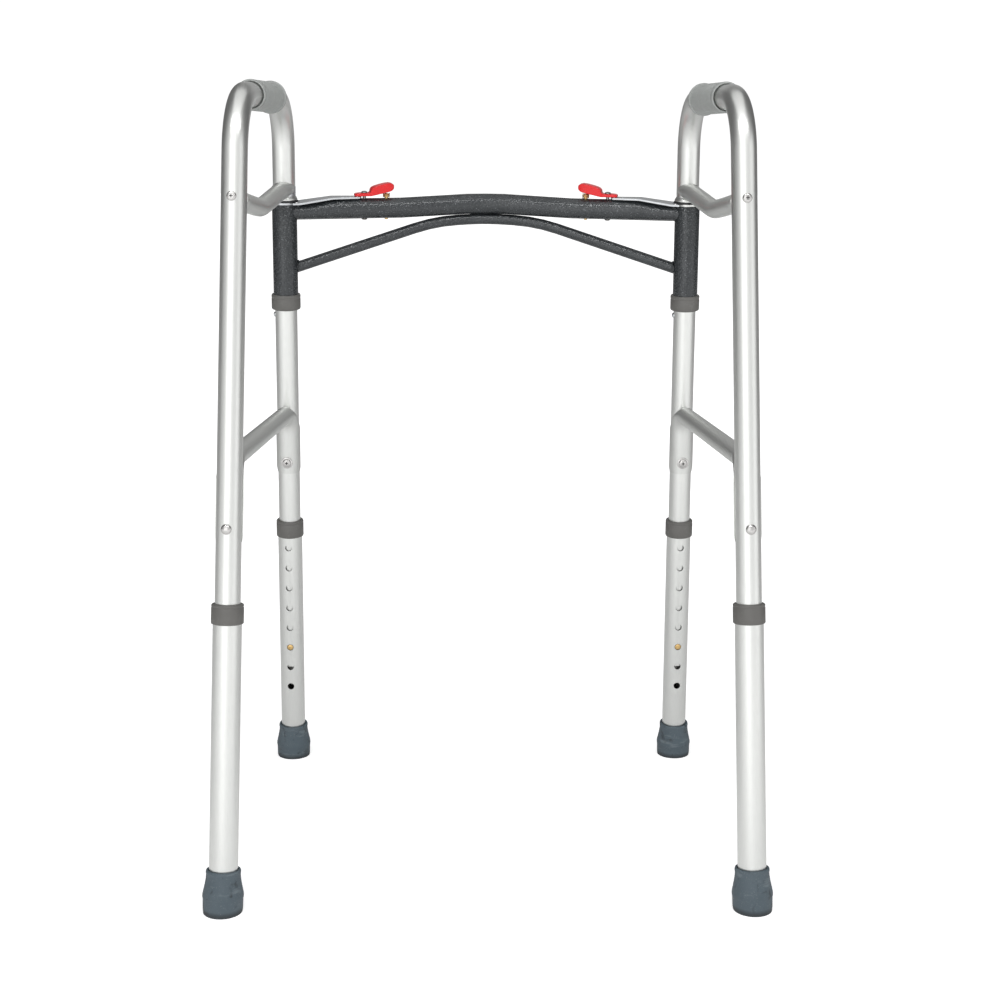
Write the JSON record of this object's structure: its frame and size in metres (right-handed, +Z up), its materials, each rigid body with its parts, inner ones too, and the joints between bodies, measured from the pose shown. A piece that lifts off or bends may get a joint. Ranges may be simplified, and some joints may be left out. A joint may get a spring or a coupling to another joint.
{
  "type": "folding walking frame",
  "caption": "Folding aluminium walking frame: two hinged side frames on a bowed front crossbar, with height-adjustable telescoping legs, push-down fold catches and rubber tips.",
  "frame": {"origin": "on the floor, under the middle of the frame's overall box", "axes": "+Z up, +Y the way the user walks, +X to the user's right"},
  "size_m": [0.567, 0.4767, 0.8146],
  "materials": {
    "anodised": "satin anodised",
    "hammertone": "dark hammered paint",
    "zinc": "bright zinc plate",
    "brass": "satin",
    "red_plastic": "moulded, semi-gloss",
    "grey_plastic": "moulded",
    "black_plastic": "moulded",
    "grip": "moulded with fine ribs",
    "rubber": "moulded"
  },
  "bodies": {
    "front_frame": {"front_crossbar": "hammertone", "front_arch_brace": "hammertone", "hinge_sleeve_left": "hammertone", "sleeve_collar_left": "grey_plastic", "lever_rivet_left": "zinc", "lever_spring_left": "brass", "hinge_sleeve_right": "hammertone", "sleeve_collar_right": "grey_plastic", "lever_rivet_right": "zinc", "lever_spring_right": "brass"},
    "side_frame_left": {"side_frame_tube_left": "anodised", "hand_grip_left": "grip", "upper_brace_left": "anodised", "lower_brace_left": "anodised", "hinge_plate_left": "zinc", "hinge_washer_left": "black_plastic", "stop_rivet_left": "zinc", "upper_brace_screw_front_left": "zinc", "lower_brace_screw_front_left": "zinc", "barrel_nut_front_left": "zinc", "snap_spring_front_left": "zinc", "upper_brace_screw_rear_left": "zinc", "lower_brace_screw_rear_left": "zinc", "barrel_nut_rear_left": "zinc", "snap_spring_rear_left": "zinc"},
    "side_frame_right": {"side_frame_tube_right": "anodised", "hand_grip_right": "grip", "upper_brace_right": "anodised", "lower_brace_right": "anodised", "hinge_plate_right": "zinc", "hinge_washer_right": "black_plastic", "stop_rivet_right": "zinc", "upper_brace_screw_front_right": "zinc", "lower_brace_screw_front_right": "zinc", "barrel_nut_front_right": "zinc", "snap_spring_front_right": "zinc", "upper_brace_screw_rear_right": "zinc", "lower_brace_screw_rear_right": "zinc", "barrel_nut_rear_right": "zinc", "snap_spring_rear_right": "zinc"},
    "lever_left": {"release_lever_left": "red_plastic"},
    "catch_pin_left": {"lever_pin_left": "brass"},
    "leg_front_left": {"lower_leg_front_left": "anodised", "leg_collar_front_left": "grey_plastic", "rubber_tip_front_left": "rubber"},
    "button_front_left": {"snap_button_front_left": "brass"},
    "leg_rear_left": {"lower_leg_rear_left": "anodised", "leg_collar_rear_left": "grey_plastic", "rubber_tip_rear_left": "rubber"},
    "button_rear_left": {"snap_button_rear_left": "brass"},
    "lever_right": {"release_lever_right": "red_plastic"},
    "catch_pin_right": {"lever_pin_right": "brass"},
    "leg_front_right": {"lower_leg_front_right": "anodised", "leg_collar_front_right": "grey_plastic", "rubber_tip_front_right": "rubber"},
    "button_front_right": {"snap_button_front_right": "brass"},
    "leg_rear_right": {"lower_leg_rear_right": "anodised", "leg_collar_rear_right": "grey_plastic", "rubber_tip_rear_right": "rubber"},
    "button_rear_right": {"snap_button_rear_right": "brass"}
  },
  "joints": [
    {"name": "fold_left", "type": "hinge", "parent": "front_frame", "child": "side_frame_left", "pos_m": [-0.23, 0.1575, 0.68], "axis": [0.0085, -0.0896, 0.9959], "range_deg": [0, 86]},
    {"name": "fold_right", "type": "hinge", "parent": "front_frame", "child": "side_frame_right", "pos_m": [0.23, 0.1575, 0.68], "axis": [0.0085, 0.0896, -0.9959], "range_deg": [0, 60]},
    {"name": "press_lever_left", "type": "hinge", "parent": "front_frame", "child": "lever_left", "pos_m": [-0.14017, 0.17696, 0.68852], "axis": [-0.219, 0.9716, 0.0893], "range_deg": [0, 8], "stiffness_Nm_per_rad": 0.5, "springref_deg": -2.86, "deforming": ["lever_spring_left"]},
    {"name": "catch_pin_slide_left", "type": "slide", "parent": "front_frame", "child": "catch_pin_left", "axis": [-0.0085, 0.0896, -0.9959], "range_m": [0, 0.0036]},
    {"name": "press_lever_right", "type": "hinge", "parent": "front_frame", "child": "lever_right", "pos_m": [0.14017, 0.17696, 0.68852], "axis": [-0.219, -0.9716, -0.0893], "range_deg": [0, 8], "stiffness_Nm_per_rad": 0.5, "springref_deg": -2.86, "deforming": ["lever_spring_right"]},
    {"name": "catch_pin_slide_right", "type": "slide", "parent": "front_frame", "child": "catch_pin_right", "axis": [0.0085, 0.0896, -0.9959], "range_m": [0, 0.0036]},
    {"name": "extend_leg_front_left", "type": "slide", "parent": "side_frame_left", "child": "leg_front_left", "axis": [-0.0085, 0.0896, -0.9959], "range_m": [-0.0508, 0.127]},
    {"name": "press_button_front_left", "type": "slide", "parent": "side_frame_left", "child": "button_front_left", "axis": [0.0639, 0.994, 0.0889], "range_m": [0, 0.003], "stiffness_N_per_m": 1500, "springref_m": -0.002, "deforming": ["snap_spring_front_left"]},
    {"name": "extend_leg_rear_left", "type": "slide", "parent": "side_frame_left", "child": "leg_rear_left", "axis": [-0.0216, -0.1191, -0.9926], "range_m": [-0.0508, 0.127]},
    {"name": "press_button_rear_left", "type": "slide", "parent": "side_frame_left", "child": "button_rear_left", "axis": [-0.0607, -0.9909, 0.1202], "range_m": [0, 0.003], "stiffness_N_per_m": 1500, "springref_m": -0.002, "deforming": ["snap_spring_rear_left"]},
    {"name": "extend_leg_front_right", "type": "slide", "parent": "side_frame_right", "child": "leg_front_right", "axis": [0.0085, 0.0896, -0.9959], "range_m": [-0.0508, 0.127]},
    {"name": "press_button_front_right", "type": "slide", "parent": "side_frame_right", "child": "button_front_right", "axis": [-0.0639, 0.994, 0.0889], "range_m": [0, 0.003], "stiffness_N_per_m": 1500, "springref_m": -0.002, "deforming": ["snap_spring_front_right"]},
    {"name": "extend_leg_rear_right", "type": "slide", "parent": "side_frame_right", "child": "leg_rear_right", "axis": [0.0216, -0.1191, -0.9926], "range_m": [-0.0508, 0.127]},
    {"name": "press_button_rear_right", "type": "slide", "parent": "side_frame_right", "child": "button_rear_right", "axis": [0.0607, -0.9909, 0.1202], "range_m": [0, 0.003], "stiffness_N_per_m": 1500, "springref_m": -0.002, "deforming": ["snap_spring_rear_right"]}
  ],
  "couplings": [
    {"joint": "catch_pin_slide_left", "follows": "press_lever_left", "m_per_rad": 0.0256},
    {"joint": "catch_pin_slide_right", "follows": "press_lever_right", "m_per_rad": 0.0256}
  ]
}
